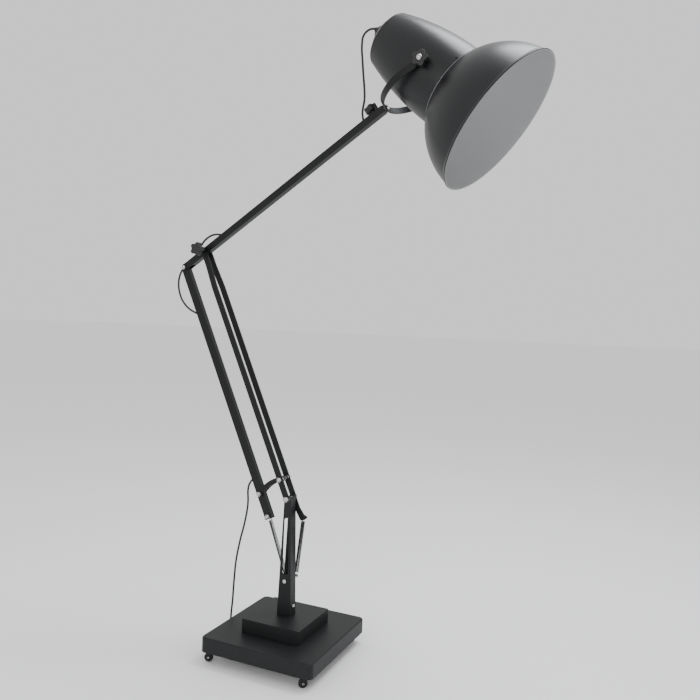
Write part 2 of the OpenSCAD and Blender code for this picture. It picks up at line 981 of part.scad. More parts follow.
rim = 3.1;
rim_h = 7;
collar_gap = 0.3;
collar_len = 12;
module bell() {
    neck_r = arc_r(house_arc, neck_at + collar_len, shade_wall) - collar_gap;
    outer = [for (s = run(rim_h, neck_at, 16)) [arc_r(bell_arc, s), s]];
    inner = [for (s = run(neck_at, rim_h, 16)) [arc_r(bell_arc, s, shade_wall), s]];
    w = shade_wall;
    color([0.1, 0.1, 0.11])
    at_shade()
    rotate_extrude()
        polygon(concat(
            [[mouth_r + rim - w, 0], [mouth_r + rim, 0]],
            outer,
            [[neck_r, neck_at], [neck_r, neck_at + collar_len],
             [neck_r - w, neck_at + collar_len], [neck_r - w, neck_at]],
            inner));
}

module rear_housing() {
    w = shade_wall;
    edge = 8;
    end_r = arc_r(house_arc, house_end);
    n = 6;
    corner = [for (i = [1:n]) let (a = 75 * i / n)
        [end_r - edge + edge * cos(a), house_end + edge * sin(a)]];
    inner_corner = [for (i = [n:-1:1]) let (a = 75 * i / n)
        [end_r - edge + (edge - w) * cos(a), house_end + (edge - w) * sin(a)]];
    cap = [cap_r + 0.1, cap_at + 2];
    color([0.1, 0.1, 0.11])
    difference() {
        at_shade()
        rotate_extrude()
            polygon(concat(
                [for (s = run(neck_at + 0.3, house_end, 14)) [arc_r(house_arc, s), s]],
                corner,
                [[58, 405.5], [41, 415.5], [27, 424], cap, [cap[0], cap[1] - w], [27, 424 - w * 1.3],
                 [41, 415.5 - w * 1.3], [58, 405.5 - w * 1.3]],
                inner_corner,
                [for (s = run(house_end, neck_at + 0.3, 14)) [arc_r(house_arc, s, w), s]]));
        along_y(shade_at, -2 * yoke_r, 2 * yoke_r, bolt_r);
        rivet_places()
            cylinder(r = 2, h = 12, center = true);
    }
}

rivet_s = 160;
module rivet_places() {
    at_shade()
        for (turn = [60:120:300])
            rotate(turn)
                translate([arc_r(house_arc, rivet_s), 0, rivet_s])
                    rotate([0, 90, 0])
                        children();
}

module shade_rivets() {
    color(black)
    rivet_places() {
        translate([0, 0, gap])
            cylinder(r = 3.5, h = 1.2);
        translate([0, 0, -shade_wall - 0.1])
            cylinder(r = 1.9, h = shade_wall + 1);
    }
}

module rear_cap() {
    color(black)
    at_shade()
    difference() {
        union() {
            translate([0, 0, cap_at - 3])
                cylinder(r = cap_r, h = cap_end - cap_at);
            translate([0, 0, cap_end - 3])
                cylinder(r1 = cap_r, r2 = cap_r - 3, h = 3);
        }
        translate([0, 0, cap_at - 4])
            cylinder(r = 6.1, h = 30);
    }
}

module cable_gland() {
    color(rubber)
    at_shade()
    difference() {
        union() {
            translate([0, 0, cap_end])
                cylinder(r = 9, h = 7);
            translate([0, 0, cap_end + 7])
                cylinder(r1 = 7, r2 = 4.5, h = gland_end - cap_end - 7);
            translate([0, 0, cap_end - 5])
                cylinder(r = 6, h = 6);
        }
        translate([0, 0, cap_end - 6])
            cylinder(r = cord_d / 2, h = 30);
    }
}

holder_mouth = 318;
holder_end = 372;
holder_r = 21;
socket_r = 13.6;
module lamp_holder() {
    color(black)
    at_shade()
    difference() {
        union() {
            translate([0, 0, holder_mouth])
                cylinder(r = holder_r, h = holder_end - holder_mouth);
            translate([0, 0, holder_end])
                cylinder(r1 = holder_r, r2 = 8, h = 9);
            translate([0, 0, holder_end])
                cylinder(r = 6, h = cap_end - 5 - holder_end);
        }
        translate([0, 0, holder_mouth - 1])
            cylinder(r = socket_r, h = 32);
        translate([0, 0, holder_end - 10])
            cylinder(r = 4, h = cap_end - holder_end + 20);
    }
}

globe = 30;
globe_s = 256;
globe_neck_r = 17;
module bulb_outline(inset) {
    throat = 15;
    circle_r = globe - inset;
    translate([0, 0, globe_s])
        sphere(r = circle_r);
    translate([0, 0, globe_s + throat])
        cylinder(r1 = sqrt(circle_r * circle_r - throat * throat), r2 = globe_neck_r - inset, h = 32);
    translate([0, 0, globe_s + 47])
        cylinder(r1 = globe_neck_r - inset, r2 = socket_r - 0.3 - inset, h = 10);
    translate([0, 0, globe_s + 57])
        cylinder(r = socket_r - 0.3 - inset, h = 30 - inset);
}

module bulb() {
    color([0.95, 0.95, 0.92])
    at_shade()
    difference() {
        bulb_outline(0);
        bulb_outline(1);
    }
}

module pivot_studs() {
    inside = arc_r(house_arc, shade_pivot, shade_wall) - 0.8;
    out = yoke_r + yoke_t / 2 + gap + 17;
    color(steel)
    for (side = [-1, 1])
        translate([shade_at[0], side * inside, shade_at[1]])
            rotate([-90 * side, 0, 0]) {
                translate([0, 0, -4])
                    cylinder(r = 8, h = 4);
                cylinder(r = bolt_r, h = out - 12 - inside);
            }
}

bush_r = 8;
module pivot_bushes() {
    from = arc_r(house_arc, shade_pivot - bush_r) + 0.1;
    to = yoke_r - yoke_t / 2 - gap;
    color(rubber)
    for (side = [-1, 1])
        translate([shade_at[0], side * from, shade_at[1]])
            rotate([-90 * side, 0, 0])
                difference() {
                    cylinder(r = bush_r, h = to - from);
                    translate([0, 0, -1])
                        cylinder(r = bolt_r, h = 20);
                }
}

// ---- springs, as plain tubes ----

module spring_tube(foot, top, from, to) {
    span = top - foot;
    aim(foot, atan2(span[1], span[0]))
        translate([0, 0, from])
            difference() {
                cylinder(r = spring_d / 2, h = to - from);
                translate([0, 0, -1])
                    cylinder(r = spring_d / 2 - 1.6, h = to - from + 2);
            }
}

right_len = norm(right_top - right_foot);
left_len = norm(left_top - left_foot);

module spring_right_lower() {
    color(steel)
    translate([0, spring_y, 0])
        spring_tube(right_foot, right_top, spring_end, right_len / 2);
}

module spring_right_upper() {
    color(steel)
    translate([0, spring_y, 0])
        spring_tube(right_foot, right_top, right_len / 2, right_len - spring_end);
}

module spring_left_eye() {
    color(steel)
    spring_tube(left_foot, left_top, 10, left_eye);
}

module spring_left_lower() {
    color(steel)
    spring_tube(left_foot, left_top, left_eye, left_len / 2);
}

module spring_left_upper() {
    color(steel)
    spring_tube(left_foot, left_top, left_len / 2, left_len - left_eye - 4);
}

module spring_left_hook() {
    color(steel)
    spring_tube(left_foot, left_top, left_len - left_eye - 3.8, left_len - 13);
}

// ---- cord and plug ----

module cord_head() {
    color(rubber)
    tube_along(head_route, 2, cord_d);
}

module cord_elbow() {
    color(rubber)
    tube_along(elbow_route, 2, cord_d);
}

module cord_side() {
    color(rubber)
    tube_along(side_route, 2, cord_d);
}

module cord_lead() {
    color(rubber) {
        tube_along(lead_route, 1, cord_d);
        tube_along(tail_route, 1, cord_d, [0, 0, 1]);
    }
}

module cord_coil() {
    color(rubber)
    translate([coil_at[0], coil_at[1], 0])
        rotate_extrude()
            translate([coil_r - 1.5 * cord_d, 0])
                square([3 * cord_d, 2 * cord_d]);
}

module plug_body() {
    color(rubber)
    translate([tail_route[4][0], tail_route[4][1] - plug_size[1] / 2, 0])
        difference() {
            union() {
                cube([plug_size[0], plug_size[1], plug_size[2]]);
                for (side = [0, 1])
                    translate([0, side * plug_size[1], plug_size[2] / 2])
                        rotate([0, 90, 0])
                            cylinder(r = plug_size[2] / 2, h = plug_size[0]);
            }
            for (side = [-1, 1])
                translate([plug_size[0] - 8, plug_size[1] / 2 + side * plug_pin_gap / 2,
                        plug_size[2] / 2])
                    rotate([0, 90, 0])
                        cylinder(r = plug_shank_r, h = 9);
        }
}

module plug_pins() {
    color("gold")
    for (side = [-1, 1])
        translate([tail_route[4][0] + plug_size[0],
                tail_route[4][1] + side * plug_pin_gap / 2, plug_size[2] / 2])
            rotate([0, 90, 0]) {
                cylinder(r = plug_pin_r, h = plug_pin_len);
                translate([0, 0, -8])
                    cylinder(r = plug_shank_r, h = 8);
            }
}

base_cover();
ballast_plate();
base_bolts();
caster_stems();
plinth();
mast();
mast_foot();
mast_fasteners();
shoulder_bolt();
near_bar();
far_bar();
bar_spacers();
crank_bolts();
elbow_bolt();
crank_straps();
crank_pin();
push_rod();
rod_spring_pin();
rod_grommets();
upper_arm();
tail_bolt();
arm_end_plug();
arm_grommets();
elbow_knob();
arm_knob();
shade_knob_near();
shade_knob_far();
yoke();
yoke_stud();
rear_housing();
bell();
shade_rivets();
rear_cap();
cable_gland();
lamp_holder();
bulb();
pivot_studs();
pivot_bushes();
fork(0);  // fork_front_left
fork(1);  // fork_front_right
fork(2);  // fork_rear_left
fork(3);  // fork_rear_right
wheel(0);  // wheel_front_left
wheel(1);  // wheel_front_right
wheel(2);  // wheel_rear_left
wheel(3);  // wheel_rear_right
spring_right_lower();
spring_right_upper();
spring_left_eye();
spring_left_lower();
spring_left_upper();
spring_left_hook();
cord_head();
cord_elbow();
cord_side();
cord_lead();
cord_coil();
plug_body();
plug_pins();
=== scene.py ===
import json
import math
import bmesh
import bpy
from mathutils import Matrix, Vector
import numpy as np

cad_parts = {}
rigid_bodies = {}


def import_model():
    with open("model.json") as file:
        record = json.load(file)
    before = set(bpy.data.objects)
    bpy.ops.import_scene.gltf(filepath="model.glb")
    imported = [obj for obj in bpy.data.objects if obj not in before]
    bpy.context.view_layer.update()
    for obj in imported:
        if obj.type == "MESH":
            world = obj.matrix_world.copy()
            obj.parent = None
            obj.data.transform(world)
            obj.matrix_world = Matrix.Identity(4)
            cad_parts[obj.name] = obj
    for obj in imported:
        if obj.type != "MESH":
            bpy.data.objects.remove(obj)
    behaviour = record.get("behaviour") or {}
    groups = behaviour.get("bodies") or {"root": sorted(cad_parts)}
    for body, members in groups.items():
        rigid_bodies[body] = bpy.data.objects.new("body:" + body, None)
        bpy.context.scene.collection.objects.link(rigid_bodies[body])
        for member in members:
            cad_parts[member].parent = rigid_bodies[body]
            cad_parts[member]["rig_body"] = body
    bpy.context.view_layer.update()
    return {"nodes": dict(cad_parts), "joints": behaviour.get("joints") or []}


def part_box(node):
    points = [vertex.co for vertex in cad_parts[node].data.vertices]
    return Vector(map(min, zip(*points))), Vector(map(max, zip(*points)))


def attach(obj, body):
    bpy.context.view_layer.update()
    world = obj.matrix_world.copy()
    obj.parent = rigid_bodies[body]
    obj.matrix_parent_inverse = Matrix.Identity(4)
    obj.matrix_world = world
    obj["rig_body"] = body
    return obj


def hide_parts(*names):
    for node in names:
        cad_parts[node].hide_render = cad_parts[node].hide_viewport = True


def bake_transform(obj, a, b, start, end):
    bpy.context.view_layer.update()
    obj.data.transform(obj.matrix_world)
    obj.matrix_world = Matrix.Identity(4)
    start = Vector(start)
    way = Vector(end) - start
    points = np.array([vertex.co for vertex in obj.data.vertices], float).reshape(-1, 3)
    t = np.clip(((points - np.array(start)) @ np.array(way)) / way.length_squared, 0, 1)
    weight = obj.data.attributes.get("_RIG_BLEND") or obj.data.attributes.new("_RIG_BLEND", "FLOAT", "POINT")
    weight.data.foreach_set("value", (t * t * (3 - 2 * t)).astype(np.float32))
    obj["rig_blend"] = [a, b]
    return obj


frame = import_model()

mm = 0.001
# Crease and flatness angles in degrees, weld distance in metres
meshLook = {"crease": 40, "bevelCrease": 38, "flat": 0.6, "weld": 1e-6}


# Places taken from the frame

joints = {joint["name"]: joint for joint in frame["joints"]}


def jointAt(name):
    return Vector(joints[name]["pos_m"])


def inPlane(degrees):  # a direction in the arm's plane, measured up from +X
    return Vector((math.cos(math.radians(degrees)), 0, math.sin(math.radians(degrees))))


def frameAt(origin, along):  # local Z runs along a direction in the arm's plane, Y stays across
    z = along.normalized()
    y = Vector((0, 1, 0))
    turn = Matrix((y.cross(z), y, z)).transposed().to_4x4()
    return Matrix.Translation(origin) @ turn


# Camera, floor and lights

cameraLook = {"place": (0.9929, -1.8177, 0.9745), "yaw": -24.312, "pitch": -2.382, "roll": 2.209,
              "lens": 37.06, "sensor": 36.0, "farthest": 120}
studio = {"floorSize": 90.0, "floorColour": (0.93, 0.93, 0.93), "worldColour": (1.0, 1.0, 1.0),
          "worldStrength": 1.0}
lightLook = {"keyLight": {"place": (1.0, 0.5, 3.3), "target": (0.35, 0, 1.65), "size": 1.3,
                          "power": 70.0, "colour": (0.93, 0.96, 1.0)},
             "fillLight": {"place": (0.3, -3.2, 1.4), "target": (0.2, 0, 1.0), "size": 1.6,
                           "power": 26.0, "colour": (1.0, 1.0, 1.0)}}


def makeCamera():
    look = cameraLook
    yaw, pitch, roll = (math.radians(look[key]) for key in ("yaw", "pitch", "roll"))
    ahead = Vector((math.sin(yaw) * math.cos(pitch), math.cos(yaw) * math.cos(pitch),
                    math.sin(pitch)))
    side = ahead.cross(Vector((0, 0, 1))).normalized()
    above = side.cross(ahead)
    right = side * math.cos(roll) + above * math.sin(roll)
    up = above * math.cos(roll) - side * math.sin(roll)
    camera = bpy.data.objects.new("studioCamera", bpy.data.cameras.new("studioCamera"))
    bpy.context.scene.collection.objects.link(camera)
    turn = Matrix((right, up, -ahead)).transposed().to_4x4()
    camera.matrix_world = Matrix.Translation(look["place"]) @ turn
    camera.data.lens = look["lens"]
    camera.data.sensor_width = look["sensor"]
    camera.data.clip_end = look["farthest"]
    bpy.context.scene.camera = camera


def areaLight(name, place, target, size, power, colour):
    light = bpy.data.lights.new(name, "AREA")
    light.shape = "SQUARE"
    light.size = size
    light.energy = power
    light.color = colour
    lamp = bpy.data.objects.new(name, light)
    bpy.context.scene.collection.objects.link(lamp)
    lamp.location = place
    lamp.rotation_mode = "QUATERNION"
    lamp.rotation_quaternion = (Vector(target) - Vector(place)).to_track_quat("-Z", "Y")


makeCamera()
for name, look in lightLook.items():
    areaLight(name, **look)
print("camera and lights ready")


# Cords

# The splits count points along a cord: where one pair of bodies hands it to the next
cordLook = {"diameter": 0.006, "sides": 16, "stepsPerPoint": 6, "headSplit": 9, "footHeld": 2,
            "leadSplits": (0, 5, 9, 11)}
headCord = [(209, 0, 1761.5), (198.4, 0, 1762.6), (188.1, 0, 1759.6), (179.7, 0, 1753.1),
            (174.3, 0, 1743.8), (172.8, 0, 1734.7), (172.5, 0, 1712), (175, 0, 1688),
            (180, 0, 1642),
            (185, 0, 1601), (186, 0, 1574), (182, 0, 1549), (182, 0, 1534), (185, 0, 1520),
            (187, 0, 1515)]
elbowCord = [(-260, 0, 1213.4), (-266, 0, 1215), (-285.8, 0, 1216.3), (-302.3, 0, 1212.8),
             (-316.5, 0, 1205.7), (-328.7, 0, 1195.4), (-338.4, 0, 1181.6), (-345, 0, 1163),
             (-345, 0, 1158)]
sideCord = [(-400, 0, 1118), (-410, 0, 1103), (-417, 0, 1085), (-419, 0, 1064), (-415, 0, 1042),
            (-405, 0, 1019), (-390, 0, 1001), (-371, 0, 987), (-350, 0, 978), (-345, 0, 976)]
leadCord = [(-124, 0, 496), (-130, 0, 490), (-136.5, 0, 481.5), (-141, 0, 472), (-143, 0, 461),
            (-143.5, 0, 450), (-142, 0, 428), (-144, 0, 398), (-153, 0, 351), (-165, 0, 304),
            (-177, 0, 241), (-182, 0, 179), (-185, 0, 117), (-188, 0, 85), (-190, 1, 55),
            (-193, 7, 31), (-197, 20, 13), (-200, 42, 4.5), (-201, 72, 3), (-202, 130, 3),
            (-196, 168, 3), (-174, 191, 3), (-140, 197, 3), (-105, 196, 3)]
tailCord = [(-10.5, 248, 8.5), (-6, 261, 7.5), (4, 271, 6.5), (17, 277, 6.5), (30, 278, 7)]
coilLook = {"centre": (-50, 235), "outerTurn": 39, "pitch": 6, "turnsIn": 2, "turnsOver": 1,
            "turnsOut": 2.25, "pointsPerTurn": 28, "low": 3, "high": 9, "tuck": 2.4}


def metres(points):
    return [Vector(point) * mm for point in points]


def smoothLine(points, steps):
    line = []
    last = len(points) - 1
    for i in range(last):
        before, here = points[max(i - 1, 0)], points[i]
        there, after = points[i + 1], points[min(i + 2, last)]
        for k in range(steps):
            t = k / steps
            line.append(0.5 * (2 * here + (there - before) * t
                               + (2 * before - 5 * here + 4 * there - after) * t * t
                               + (3 * here - before - 3 * there + after) * t ** 3))
    return line + [points[last]]


def coilTurns():
    look = coilLook
    total = look["turnsIn"] + look["turnsOver"] + look["turnsOut"]
    inner = look["outerTurn"] - look["pitch"] * look["turnsIn"]
    points = []
    for i in range(int(total * look["pointsPerTurn"]) + 1):
        turn = i / look["pointsPerTurn"]
        over = min(max(turn - look["turnsIn"], 0), look["turnsOver"]) / look["turnsOver"]
        radius = inner - look["tuck"] * math.sin(math.pi * over)
        if turn < look["turnsIn"]:
            radius = look["outerTurn"] - look["pitch"] * turn
        elif over == 1:
            radius = min(inner + look["pitch"] * (turn - look["turnsIn"] - look["turnsOver"]),
                         look["outerTurn"])
        height = look["low"] + (look["high"] - look["low"]) * over
        angle = math.radians(-90) + 2 * math.pi * turn
        points.append(Vector((look["centre"][0] + radius * math.cos(angle),
                              look["centre"][1] + radius * math.sin(angle), height)) * mm)
    return points


def ringFrames(line):  # two directions across the line at each point, without a twist
    side = Vector((0, 1, 0))
    frames = []
    last = len(line) - 1
    for i in range(last + 1):
        along = (line[min(i + 1, last)] - line[max(i - 1, 0)]).normalized()
        side = (side - side.dot(along) * along).normalized()
        frames.append((side, along.cross(side)))
    return frames


def tubeMesh(name, line, radius, sides):
    verts, faces = [], []
    for centre, (across, up) in zip(line, ringFrames(line)):
        for k in range(sides):
            angle = 2 * math.pi * k / sides
            verts.append(centre + radius * (math.cos(angle) * across + math.sin(angle) * up))
    for i in range(len(line) - 1):
        for k in range(sides):
            a, b = i * sides + k, i * sides + (k + 1) % sides
            faces.append((a, b, b + sides, a + sides))
    faces.append(tuple(reversed(range(sides))))
    faces.append(tuple(range((len(line) - 1) * sides, len(line) * sides)))
    return newPiece(name, verts, faces)


def newPiece(name, verts, faces, smooth=True):
    mesh = bpy.data.meshes.new(name)
    mesh.from_pydata([tuple(v) for v in verts], [], faces)
    mesh.update()
    if smooth:
        mesh.polygons.foreach_set("use_smooth", [True] * len(mesh.polygons))
        mesh.set_sharp_from_angle(angle=math.radians(meshLook["crease"]))
    piece = bpy.data.objects.new(name, mesh)
    bpy.context.scene.collection.objects.link(piece)
    return piece


def lineLength(line):
    return sum((b - a).length for a, b in zip(line, line[1:]))


def cordPiece(name, line):
    piece = tubeMesh(name, line, cordLook["diameter"] / 2, cordLook["sides"])
    return piece


def declareCord(line):
    lineLength(line)


def makeCords():
    steps = cordLook["stepsPerPoint"]
    pieces = []
    head = smoothLine(metres(headCord), steps)
    cut = cordLook["headSplit"] * steps
    headTop, headFoot = head[:cut + 1], head[cut:]
    top = cordPiece("headCordTop", headTop)
    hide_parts("cord_head")
    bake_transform(top, "shade", "yoke", start=tuple(headTop[0]), end=tuple(headTop[-1]))
    declareCord(headTop)
    foot = cordPiece("headCordFoot", headFoot)
    held = -1 - cordLook["footHeld"] * steps
    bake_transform(foot, "yoke", "upper_arm", start=tuple(headFoot[0]), end=tuple(headFoot[held]))
    declareCord(headFoot)
    pieces += [top, foot]

    for name, points, body, node in (("elbowCord", elbowCord, "upper_arm", "cord_elbow"),
                                     ("sideCord", sideCord, "rod", "cord_side")):
        line = smoothLine(metres(points), steps)
        piece = cordPiece(name, line)
        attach(piece, body)
        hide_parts(node)
        declareCord(line)
        pieces.append(piece)

    lead = smoothLine(metres(leadCord) + coilTurns()[:1], steps)
    marks = [point * steps for point in cordLook["leadSplits"]]
    bodies = ["rod", "crank", "lower_arm", "base"]
    for i in range(3):
        part = lead[marks[i]:marks[i + 1] + 1]
        piece = cordPiece(f"leadCord{i + 1}", part)
        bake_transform(piece, bodies[i], bodies[i + 1], start=tuple(part[0]), end=tuple(part[-1]))
        declareCord(part)
        pieces.append(piece)
    rest = lead[marks[3]:] + coilTurns()[1:] + smoothLine(metres(tailCord), steps)
    piece = cordPiece("leadCordRun", rest)
    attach(piece, "base")
    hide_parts("cord_lead", "cord_coil")
    pieces.append(piece)
    return pieces, rest


cordPieces, runLine = makeCords()
print("cords made:", len(cordPieces))


# Shader building

class Wire:  # one output socket, with arithmetic
    def __init__(self, shader, socket):
        self.shader, self.socket = shader, socket

    def maths(self, kind, first, second):
        return self.shader.put("ShaderNodeMath", {"operation": kind}, {0: first, 1: second}).out(0)

    def __add__(self, other): return self.maths("ADD", self, other)
    def __radd__(self, other): return self.maths("ADD", other, self)
    def __sub__(self, other): return self.maths("SUBTRACT", self, other)
    def __rsub__(self, other): return self.maths("SUBTRACT", other, self)
    def __mul__(self, other): return self.maths("MULTIPLY", self, other)
    def __rmul__(self, other): return self.maths("MULTIPLY", other, self)


class Placed:  # one node, whose outputs come back as wires
    def __init__(self, shader, node):
        self.shader, self.node = shader, node

    def out(self, key):
        return Wire(self.shader, self.node.outputs[key])


class Shader:
    def __init__(self, name):
        self.material = bpy.data.materials.new(name)
        self.material.use_nodes = True
        self.tree = self.material.node_tree
        self.surface = self.tree.nodes["Principled BSDF"]

    def put(self, kind, settings=None, sockets=None):
        node = self.tree.nodes.new(kind)
        for key, value in (settings or {}).items():
            setattr(node, key, value)
        for key, value in (sockets or {}).items():
            self.feed(node.inputs[key], value)
        return Placed(self, node)

    def feed(self, socket, value):
        if isinstance(value, Wire):
            self.tree.links.new(value.socket, socket)
        elif socket.type == "RGBA" and len(value) == 3:
            socket.default_value = (*value, 1)
        else:
            socket.default_value = value

    def set(self, **values):
        for key, value in values.items():
            self.feed(self.surface.inputs[key.replace("_", " ")], value)

    def place(self):
        return self.put("ShaderNodeTexCoord").out("Object")

    def noise(self, scale, detail):
        return self.put("ShaderNodeTexNoise", {}, {"Vector": self.place(), "Scale": scale,
                                                   "Detail": detail}).out(0)

    def between(self, factor, low, high):  # a number from low to high as factor goes 0 to 1
        return low + factor * (high - low)

    def mixed(self, factor, first, second):
        return self.put("ShaderNodeMix", {"data_type": "RGBA"},
                        {0: factor, 6: first, 7: second}).out(2)

    def bump(self, height, strength, distance):
        self.set(Normal=self.put("ShaderNodeBump", {}, {"Strength": strength, "Distance": distance,
                                                        "Height": height}).out(0))


def powderCoat(name, colour, roughness, grain, shine=0.25, lift=1.5):
    shader = Shader(name)
    peel = shader.noise(1400, 2)
    cloud = shader.noise(7, 4)
    dust = shader.noise(38, 5)
    lighter = tuple(c * lift + 0.001 for c in colour)
    shade = shader.mixed(cloud * 0.6 + dust * 0.3, colour, lighter)
    shader.set(Base_Color=shade, Roughness=shader.between(cloud * 0.6 + peel * 0.4,
                                                          roughness - 0.07, roughness + 0.09))
    shader.surface.inputs["Specular IOR Level"].default_value = shine
    shader.bump(peel, grain, 0.00025)
    return shader.material


def steelFinish(name, colour, roughness, dark=0.7):
    shader = Shader(name)
    streaks = shader.noise(700, 3)
    cloud = shader.noise(60, 4)
    darker = tuple(c * dark for c in colour)
    shader.set(Base_Color=shader.mixed(cloud, darker, colour),
               Roughness=shader.between(streaks, roughness - 0.08, roughness + 0.12), Metallic=1.0)
    shader.bump(streaks, 0.12, 0.0001)
    return shader.material


def rubberFinish(name, colour, roughness=0.62, grain=900):
    shader = Shader(name)
    fine = shader.noise(grain, 3)
    cloud = shader.noise(45, 3)
    shader.set(Base_Color=shader.mixed(cloud, colour, tuple(c * 1.7 + 0.001 for c in colour)),
               Roughness=shader.between(cloud, roughness - 0.08, roughness + 0.1))
    shader.bump(fine, 0.2, 0.0002)
    return shader.material


def mouldedPlastic(name, colour, roughness=0.45):
    shader = Shader(name)
    spark = shader.put("ShaderNodeTexVoronoi", {}, {"Vector": shader.place(), "Scale": 1600.0}).out(0)
    cloud = shader.noise(30, 3)
    shader.set(Base_Color=shader.mixed(cloud, colour, tuple(c * 1.5 for c in colour)),
               Roughness=shader.between(cloud, roughness - 0.06, roughness + 0.1))
    shader.bump(spark, 0.18, 0.0001)
    return shader.material


def castIron(name, colour):
    shader = Shader(name)
    sand = shader.noise(500, 6)
    pits = shader.noise(90, 5)
    shader.set(Base_Color=shader.mixed(pits, colour, tuple(c * 1.8 for c in colour)),
               Roughness=shader.between(sand, 0.6, 0.85), Metallic=0.6)
    shader.bump(sand + pits * 2, 0.5, 0.0006)
    return shader.material


def shadeInside(name, colour):
    shader = Shader(name)
    fine = shader.noise(1200, 2)
    cloud = shader.noise(9, 3)
    shader.set(Base_Color=shader.mixed(cloud, tuple(c * 0.94 for c in colour), colour),
               Roughness=shader.between(cloud, 0.42, 0.55))
    shader.bump(fine, 0.15, 0.0002)
    return shader.material


def opalGlass(name, colour):
    shader = Shader(name)
    cloud = shader.noise(40, 3)
    shader.set(Base_Color=shader.mixed(cloud, tuple(c * 0.97 for c in colour), colour),
               Roughness=shader.between(cloud, 0.12, 0.2))
    shader.surface.inputs["Subsurface Weight"].default_value = 0.25
    shader.surface.inputs["Subsurface Scale"].default_value = 0.01
    return shader.material


def floorFinish(name, colour):
    shader = Shader(name)
    cloud = shader.noise(0.7, 2)
    shader.set(Base_Color=shader.mixed(cloud, tuple(c * 0.985 for c in colour), colour),
               Roughness=shader.between(cloud, 0.75, 0.85))
    return shader.material


paints = {"base": (0.0065, 0.007, 0.0075), "arm": (0.0045, 0.0048, 0.0052),
          "shade": (0.005, 0.0054, 0.0062), "inside": (0.36, 0.365, 0.37), "zinc": (0.6, 0.6, 0.59),
          "spring": (0.085, 0.085, 0.09), "rubber": (0.006, 0.006, 0.0062),
          "plastic": (0.006, 0.006, 0.0064), "iron": (0.05, 0.05, 0.05),
          "bulb": (0.92, 0.91, 0.88), "brass": (0.78, 0.72, 0.55)}
finish = {
    "basePaint": powderCoat("basePaint", paints["base"], roughness=0.48, grain=0.35),
    "armPaint": powderCoat("armPaint", paints["arm"], roughness=0.4, grain=0.22),
    "shadePaint": powderCoat("shadePaint", paints["shade"], roughness=0.36, grain=0.12, shine=0.4),
    "shadeInside": shadeInside("shadeInside", paints["inside"]),
    "zinc": steelFinish("zinc", paints["zinc"], roughness=0.22),
    "springWire": steelFinish("springWire", paints["spring"], roughness=0.36, dark=0.6),
    "rubber": rubberFinish("rubber", paints["rubber"]),
    "cord": rubberFinish("cordJacket", paints["rubber"], roughness=0.5, grain=1500),
    "tyre": rubberFinish("tyre", paints["rubber"], roughness=0.7, grain=700),
    "plastic": mouldedPlastic("plastic", paints["plastic"]),
    "iron": castIron("castIron", paints["iron"]),
    "opal": opalGlass("opalGlass", paints["bulb"]),
    "pins": steelFinish("pins", paints["brass"], roughness=0.25),
    "floor": floorFinish("floor", studio["floorColour"]),
}
print("finishes ready:", len(finish))


# Shared piece building

def dress(piece, *names):
    kinds = [0] * len(piece.data.polygons)
    piece.data.polygons.foreach_get("material_index", kinds)
    piece.data.materials.clear()
    for name in names:
        piece.data.materials.append(finish[name])
    piece.data.polygons.foreach_set("material_index", kinds)


for piece in cordPieces:
    dress(piece, "cord")


def makeFloor():
    half = studio["floorSize"] / 2
    corners = [(-half, -half, 0), (half, -half, 0), (half, half, 0), (-half, half, 0)]
    floor = newPiece("studioFloor", corners, [(0, 1, 2, 3)], smooth=False)
    dress(floor, "floor")
    world = bpy.data.worlds.new("studioWorld")
    world.use_nodes = True
    background = world.node_tree.nodes["Background"]
    background.inputs["Color"].default_value = (*studio["worldColour"], 1)
    background.inputs["Strength"].default_value = studio["worldStrength"]
    bpy.context.scene.world = world


def cleanCopy(node, name):
    shape = bmesh.new()
    shape.from_mesh(frame["nodes"][node].data)
    bmesh.ops.remove_doubles(shape, verts=shape.verts, dist=meshLook["weld"])
    bmesh.ops.dissolve_limit(shape, angle_limit=math.radians(meshLook["flat"]),
                             verts=shape.verts, edges=shape.edges)
    mesh = bpy.data.meshes.new(name)
    shape.to_mesh(mesh)
    shape.free()
    for attribute in [a.name for a in mesh.attributes if a.name == "custom_normal"]:
        mesh.attributes.remove(mesh.attributes[attribute])
    piece = bpy.data.objects.new(name, mesh)
    bpy.context.scene.collection.objects.link(piece)
    return piece


def applied(piece):  # modifiers become part of the mesh
    graph = bpy.context.evaluated_depsgraph_get()
    made = bpy.data.meshes.new_from_object(piece.evaluated_get(graph))
    piece.modifiers.clear()
    piece.data = made
    made.polygons.foreach_set("use_smooth", [True] * len(made.polygons))
    made.set_sharp_from_angle(angle=math.radians(meshLook["bevelCrease"]))


def softEdged(node, width, material, segments=2, limit=34):
    words = node.split("_")
    piece = cleanCopy(node, words[0] + "".join(word.capitalize() for word in words[1:]) + "Piece")
    edge = piece.modifiers.new("edge", "BEVEL")
    edge.width = width * mm
    edge.segments = segments
    edge.limit_method = "ANGLE"
    edge.angle_limit = math.radians(limit)
    edge.use_clamp_overlap = True
    bpy.context.view_layer.update()
    applied(piece)
    piece.modifiers.new("flatFaces", "WEIGHTED_NORMAL").keep_sharp = True
    dress(piece, material)
    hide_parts(node)
    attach(piece, frame["nodes"][node]["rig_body"])
    return piece


